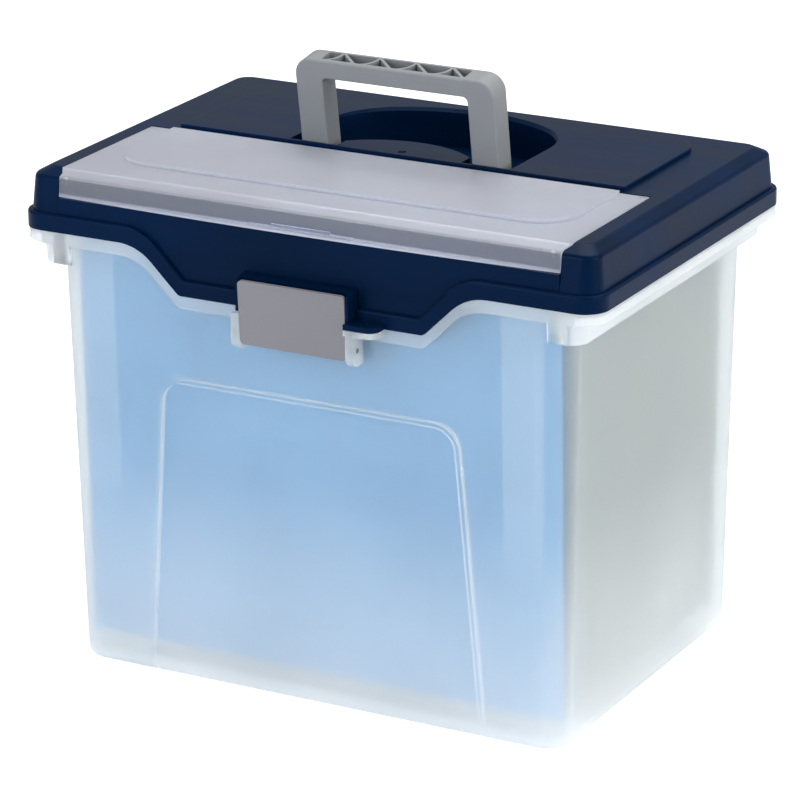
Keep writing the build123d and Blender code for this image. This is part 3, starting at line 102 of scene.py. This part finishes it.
def seen_or_shone_through(tree):
    """1 where the camera or light bent through the frosted plastic meets the surroundings, else 0."""
    path = add(tree, "LightPath")
    return add(tree, "Math", {"operation": "MAXIMUM"},
               links={0: (path, "Is Camera Ray"), 1: (path, "Is Transmission Ray")})


def light_scene():
    """Soft studio: pale surroundings, a broad overhead sheet, a key from the right, a front fill."""
    world = bpy.data.worlds.new("pale_studio")
    scene.world = world
    world.use_nodes = True
    tree = world.node_tree
    tree.nodes.clear()
    around = add(tree, "Background", values={"Color": linear("#E9EEF2"), "Strength": 0.5})
    seen = add(tree, "Background", values={"Color": linear("#FFFFFF"), "Strength": 1.0})
    mixed = add(tree, "MixShader", links={"Fac": (seen_or_shone_through(tree), 0),
                                          1: (around, 0), 2: (seen, 0)})
    add(tree, "OutputWorld", links={"Surface": (mixed, 0)})
    area_light("overhead_sheet", (0.1, 0.5, 1.9), (0, 0, 0.2), 1.8, 1.4, 24, "#FFFFFF")
    area_light("right_key", (1.9, -0.2, 0.9), (0, 0, 0.15), 1.3, 1.3, 21, "#FFFFFF")
    area_light("front_fill", (-0.7, -2.2, 0.9), (0, 0, 0.15), 1.4, 1.2, 25, "#F2F6FF")


def lay_floor():
    """Pale floor, lifted to white where it is seen lit, so that it keeps its shadow."""
    half = 6.0
    mesh = bpy.data.meshes.new("floor")
    mesh.from_pydata([(-half, -half, 0), (half, -half, 0), (half, half, 0), (-half, half, 0)],
                     [], [(0, 1, 2, 3)])
    floor = bpy.data.objects.new("floor", mesh)
    scene.collection.objects.link(floor)
    material = bpy.data.materials.new("white_sweep_paper")
    material.use_nodes = True
    tree = material.node_tree
    tree.nodes.clear()
    paper = add(tree, "BsdfDiffuse", values={"Color": linear("#F4F5F6"), "Roughness": 0.6})
    lift = add(tree, "Emission", values={"Color": linear("#FFFFFF")}, links={
        "Strength": (add(tree, "Math", {"operation": "MULTIPLY"}, {1: 0.45},
                         {0: (seen_or_shone_through(tree), 0)}), 0)})
    both = add(tree, "AddShader", links={0: (paper, 0), 1: (lift, 0)})
    add(tree, "OutputMaterial", links={"Surface": (both, 0)})
    mesh.materials.append(material)


def new_tree(name):
    """A new material and its empty node tree."""
    material = bpy.data.materials.new(name)
    material.use_nodes = True
    material.node_tree.nodes.clear()
    return material, material.node_tree


def mottled(tree, where, scale, colour, pale, stretch=(1.0, 1.0, 1.0)):
    """Slow drift between two near tones; gives the colour node and the noise behind it."""
    laid = add(tree, "Mapping", values={"Scale": stretch}, links={"Vector": (where, "Object")})
    drift = add(tree, "TexNoise", values={"Scale": scale, "Detail": 3.0}, links={"Vector": (laid, 0)})
    tone = add(tree, "MapRange", values={"From Min": 0.35, "From Max": 0.65},
               links={"Value": (drift, "Fac")})
    shade = add(tree, "Mix", {"data_type": "RGBA"}, {6: linear(colour), 7: linear(pale)},
                {0: (tone, 0)})
    return shade, drift


def grained(tree, where, grain_mm, strength, depth_mm):
    """Fine moulded grain as a bump; grain_mm is drawn about twice the real 0.2 mm so that it shows."""
    grain = add(tree, "TexNoise", values={"Scale": 1000.0 / grain_mm, "Detail": 2.0},
                links={"Vector": (where, "Object")})
    return add(tree, "Bump", values={"Strength": strength, "Distance": depth_mm / 1000.0},
               links={"Height": (grain, "Fac")})


def step_between(tree, source, output, low, high, at_low=0.0, at_high=1.0):
    """Smooth step of a value from at_low to at_high as it goes from low to high."""
    return add(tree, "MapRange", {"interpolation_type": "SMOOTHSTEP"},
               {"From Min": low, "From Max": high, "To Min": at_low, "To Max": at_high},
               {"Value": (source, output)})


def both(tree, first, second):
    """Where two masks meet."""
    return add(tree, "Math", {"operation": "MULTIPLY"}, links={0: (first, 0), 1: (second, 0)})


def larger(tree, first, second):
    """The larger of two masks."""
    return add(tree, "Math", {"operation": "MAXIMUM"}, links={0: (first, 0), 1: (second, 0)})


def size_of(tree, source, output):
    """A value without its sign."""
    return add(tree, "Math", {"operation": "ABSOLUTE"}, links={0: (source, output)})


def moulded(name, colour, pale, rough, grain_mm=0.4, strength=0.3, stretch=(1.0, 1.0, 1.0), **sockets):
    """Opaque moulded polypropylene: slow drifts of tone and gloss along the flow, and a fine grain."""
    material, tree = new_tree(name)
    where = add(tree, "TexCoord")
    shade, drift = mottled(tree, where, 9.0, colour, pale, stretch)
    gloss = add(tree, "MapRange", values={"From Min": 0.3, "From Max": 0.7, "To Min": rough - 0.04,
                                          "To Max": rough + 0.04}, links={"Value": (drift, "Fac")})
    dents = grained(tree, where, grain_mm, strength, 0.06)
    shader = add(tree, "BsdfPrincipled", values=sockets, links={
        "Base Color": (shade, 2), "Roughness": (gloss, 0), "Normal": (dents, 0)})
    add(tree, "OutputMaterial", links={"Surface": (shader, 0)})
    return material


def tub_haze_and_painted_light(tree, where):
    """How milky the tub is, with painted light in the same mask: most at its rim and base, where a painted
    glow whitens the walls towards the floor, some on the box flange, and a painted highlight along the
    panel's edge.
    """
    spot = add(tree, "SeparateXYZ", links={"Vector": (where, "Object")})
    facing = add(tree, "SeparateXYZ", links={"Vector": (where, "Normal")})
    aside = size_of(tree, spot, "X")
    ahead = size_of(tree, spot, "Y")
    forward = size_of(tree, facing, "Y")
    # painted glow: milkier, and so whiter, at the base and up the walls towards the floor, standing in for
    # light glowing through the base and thrown up by the floor; higher up a plain haze of 0.12 stays
    base = larger(tree, step_between(tree, spot, "Z", 0.004, BASE_GLOW_AND_HAZE_TOP, 0.78, 0.0),
                  step_between(tree, spot, "Z", 0.010, PAINTED_GLOW_TOP, 0.42, 0.12))
    rim = larger(tree, step_between(tree, spot, "Z", RIM_LOW - 0.0015, RIM_LOW + 0.0005, 0.0, 0.44),
                 step_between(tree, ahead, 0, FRONT_WALL_TOP, FRONT_WALL_TOP + 0.0004, 0.0, 0.44))
    flange = both(tree, step_between(tree, spot, "Z", FLANGE_LOW - 0.001, FLANGE_LOW, 0.0, 0.5),
                  step_between(tree, aside, 0, SIDE_WALL_TOP - 0.001, SIDE_WALL_TOP + 0.001))
    # painted highlight: the sloped step faces around the sunk panel are made milkier, so that they read as
    # catching light
    slanted = step_between(tree, forward, 0, 0.75, 0.93, 1.0, 0.0)
    within = step_between(tree, aside, 0, PANEL_SIDE, PANEL_SIDE + 0.002, 1.0, 0.0)
    below = step_between(tree, spot, "Z", PANEL_TOP, PANEL_TOP + 0.002, 0.5, 0.0)
    edge = both(tree, both(tree, slanted, within), below)
    strip = both(tree, step_between(tree, aside, 0, STRIP_SIDE, STRIP_SIDE + 0.0012, 0.0, 0.22),
                 step_between(tree, forward, 0, 0.90, 0.98))
    return larger(tree, larger(tree, larger(tree, base, strip), rim), larger(tree, flange, edge))


def cover_haze(tree, where):
    """How milky the organizer cover is: clear along its front, frosted on top."""
    spot = add(tree, "SeparateXYZ", links={"Vector": (where, "Object")})
    top = step_between(tree, spot, "Z", COVER_FRONT_TOP, COVER_FRONT_TOP + 0.001, 0.10, 0.50)
    lip = step_between(tree, spot, "Z", COVER_LIP_TOP - 0.0002, COVER_LIP_TOP + 0.0002, 0.5, 0.0)
    return larger(tree, top, lip)


def frosted(name, colour, pale, cloud, bright_cloud, rough, haze_and_painted_light, through):
    """Natural polypropylene: clear plastic that blurs what is behind it, mixed with milk that both
    throws light back and lets it glow through. Lamps shine through it, as they do through a thin wall."""
    material, tree = new_tree(name)
    where = add(tree, "TexCoord")
    shade = mottled(tree, where, 12.0, colour, pale)[0]
    white = mottled(tree, where, 16.0, cloud, bright_cloud)[0]
    dents = grained(tree, where, 0.5, 0.12, 0.05)
    clear = add(tree, "BsdfPrincipled", values={"Roughness": rough, "IOR": 1.49, "Transmission Weight": 1.0},
                links={"Base Color": (shade, 2), "Normal": (dents, 0)})
    milk = add(tree, "BsdfPrincipled", values={"Roughness": rough, "IOR": 1.49},
               links={"Base Color": (white, 2), "Normal": (dents, 0)})
    glow = add(tree, "BsdfTranslucent", links={"Color": (white, 2), "Normal": (dents, 0)})
    cloudy = add(tree, "MixShader", values={"Fac": 0.45}, links={1: (milk, 0), 2: (glow, 0)})
    # the mix follows the milk mask, which on the tub also holds a painted glow towards the floor and a
    # painted highlight on the panel's edge
    body = add(tree, "MixShader", links={"Fac": (haze_and_painted_light(tree, where), 0), 1: (clear, 0), 2: (cloudy, 0)})
    open_way = add(tree, "BsdfTransparent", values={"Color": linear(through)})
    path = add(tree, "LightPath")
    shown = add(tree, "MixShader", links={"Fac": (path, "Is Shadow Ray"), 1: (body, 0), 2: (open_way, 0)})
    add(tree, "OutputMaterial", links={"Surface": (shown, 0)})
    return material


def card(name, colour, pale):
    """Uncoated card: short fibres and a slight mottle."""
    material, tree = new_tree(name)
    where = add(tree, "TexCoord")
    shade = mottled(tree, where, 60.0, colour, pale)[0]
    fibre = add(tree, "TexNoise", values={"Scale": 1400.0, "Detail": 3.0},
                links={"Vector": (where, "Object")})
    relief = add(tree, "Bump", values={"Strength": 0.25, "Distance": 0.00008},
                 links={"Height": (fibre, "Fac")})
    shader = add(tree, "BsdfPrincipled", values={"Roughness": 0.85},
                 links={"Base Color": (shade, 2), "Normal": (relief, 0)})
    add(tree, "OutputMaterial", links={"Surface": (shader, 0)})
    return material


def steel(name, colour, pale, rough):
    """Drawn steel: fine lines along X."""
    material, tree = new_tree(name)
    where = add(tree, "TexCoord")
    stretched = add(tree, "Mapping", values={"Scale": (20.0, 3000.0, 3000.0)},
                    links={"Vector": (where, "Object")})
    lines = add(tree, "TexNoise", values={"Scale": 1.0, "Detail": 2.0},
                links={"Vector": (stretched, 0)})
    shade = add(tree, "Mix", {"data_type": "RGBA"}, {6: linear(colour), 7: linear(pale)},
                {0: (lines, "Fac")})
    relief = add(tree, "Bump", values={"Strength": 0.2, "Distance": 0.00003},
                 links={"Height": (lines, "Fac")})
    shader = add(tree, "BsdfPrincipled", values={"Metallic": 1.0, "Roughness": rough},
                 links={"Base Color": (shade, 2), "Normal": (relief, 0)})
    add(tree, "OutputMaterial", links={"Surface": (shader, 0)})
    return material


def paint(node, material):
    """Gives a CAD node its material."""
    mesh = nodes[node].data
    mesh.materials.clear()
    mesh.materials.append(material)


def dress():
    paint("file_tub", frosted("frosted_polypropylene", "#EBEFF0", "#F3F6F6", "#F4F7F8", "#FBFCFD",
                              0.285, tub_haze_and_painted_light, "#F2F5F7"))
    paint("organizer_cover", frosted("frosted_cover_polypropylene", "#C3CBDC", "#CCD3E1", "#D6D5D9",
                                     "#DBDCE2", 0.285, cover_haze, "#E6E9EE"))
    navy = moulded("navy_polypropylene", "#01152E", "#021B3B", 0.34, stretch=(0.5, 3.0, 3.0),
                   **{"Specular IOR Level": 0.1, "Specular Tint": linear("#9DBBEE")})
    paint("lid", navy)
    paint("lid_catch_block", navy)
    paint("handle", moulded("grey_handle_polypropylene", "#86888A", "#8E9091", 0.45))
    paint("latch", moulded("grey_latch_polypropylene", "#7C797E", "#838085", 0.42))
    pins = steel("drawn_steel", "#8F8F8F", "#B0B0B0", 0.3)
    paint("latch_pin", pins)
    paint("lid_hinge_pins", pins)
    rods = steel("coated_steel_strip", "#5C6062", "#74787A", 0.45)
    blue = card("light_blue_card", "#5490B8", "#5A96BE")
    sage = card("grey_green_card", "#94A79E", "#9FB1A8")
    for name in nodes:
        if name.endswith("_rod"):
            paint(name, rods)
        elif name.startswith("folder_"):
            paint(name, blue if name == "folder_01" else sage)


place_camera()
light_scene()
lay_floor()
dress()
scene.view_settings.view_transform = "Standard"
